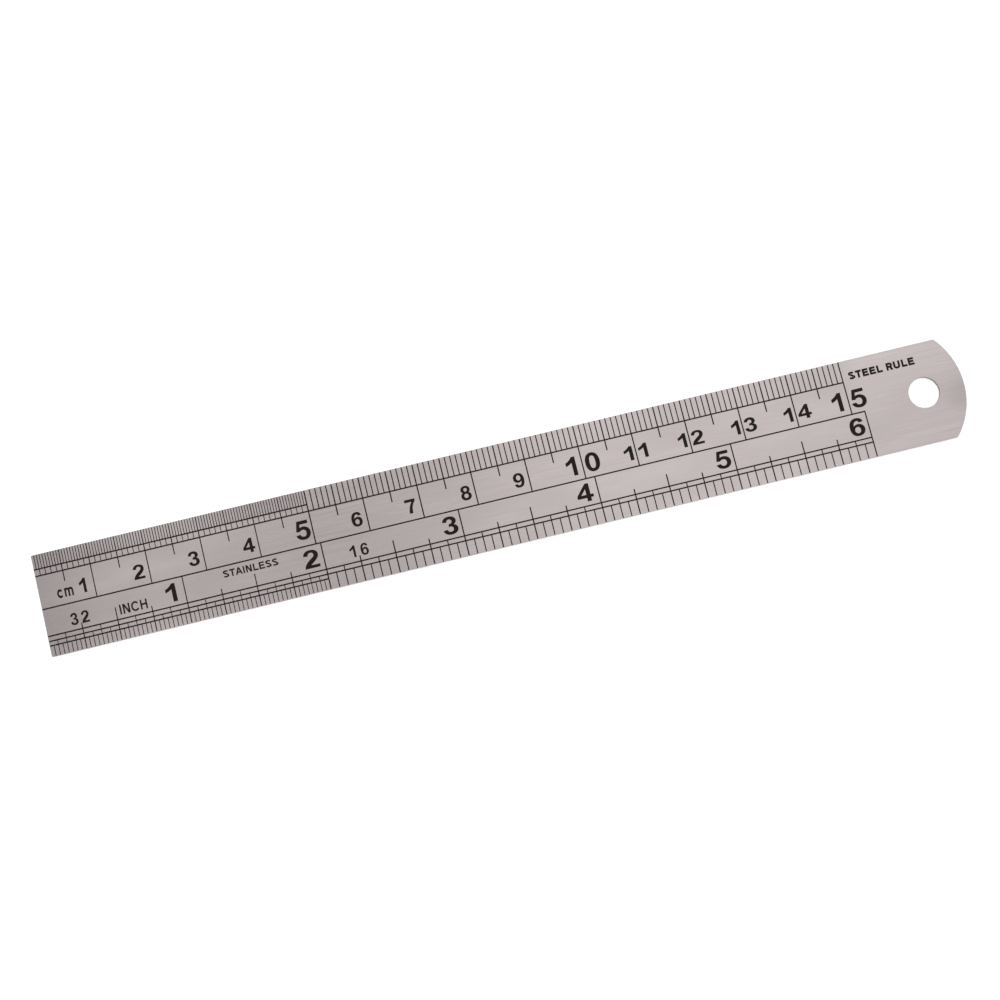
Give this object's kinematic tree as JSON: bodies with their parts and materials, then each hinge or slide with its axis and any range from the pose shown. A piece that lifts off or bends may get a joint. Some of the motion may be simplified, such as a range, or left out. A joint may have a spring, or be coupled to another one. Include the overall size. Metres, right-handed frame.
{
  "type": "steel rule",
  "caption": "Flat pocket steel rule with metric and inch scales along its long edges, a square zero end, a hanging hole and a curved far end.",
  "frame": {"origin": "middle of the square zero end, on the back face", "axes": "+X along the rule from the zero end to the hanging hole, +Y across it to the metric edge, +Z out of the graduated front face"},
  "size_m": [0.1715, 0.0186, 0.0007],
  "materials": {
    "steel": "satin, fine grain along the length",
    "enamel": "black enamel fill, semi-matte"
  },
  "bodies": {
    "root": {"blade": "steel", "metric_graduations": "enamel", "inch_graduations": "enamel", "cm_numeral_1": "enamel", "cm_numeral_2": "enamel", "cm_numeral_3": "enamel", "cm_numeral_4": "enamel", "cm_numeral_5": "enamel", "cm_numeral_6": "enamel", "cm_numeral_7": "enamel", "cm_numeral_8": "enamel", "cm_numeral_9": "enamel", "cm_numeral_10_tens": "enamel", "cm_numeral_10_units": "enamel", "cm_numeral_11_tens": "enamel", "cm_numeral_11_units": "enamel", "cm_numeral_12_tens": "enamel", "cm_numeral_12_units": "enamel", "cm_numeral_13_tens": "enamel", "cm_numeral_13_units": "enamel", "cm_numeral_14_tens": "enamel", "cm_numeral_14_units": "enamel", "cm_numeral_15_tens": "enamel", "cm_numeral_15_units": "enamel", "inch_numeral_1": "enamel", "inch_numeral_2": "enamel", "inch_numeral_3": "enamel", "inch_numeral_4": "enamel", "inch_numeral_5": "enamel", "inch_numeral_6": "enamel", "division_32_tens": "enamel", "division_32_units": "enamel", "division_16_tens": "enamel", "division_16_units": "enamel"}
  },
  "joints": []
}
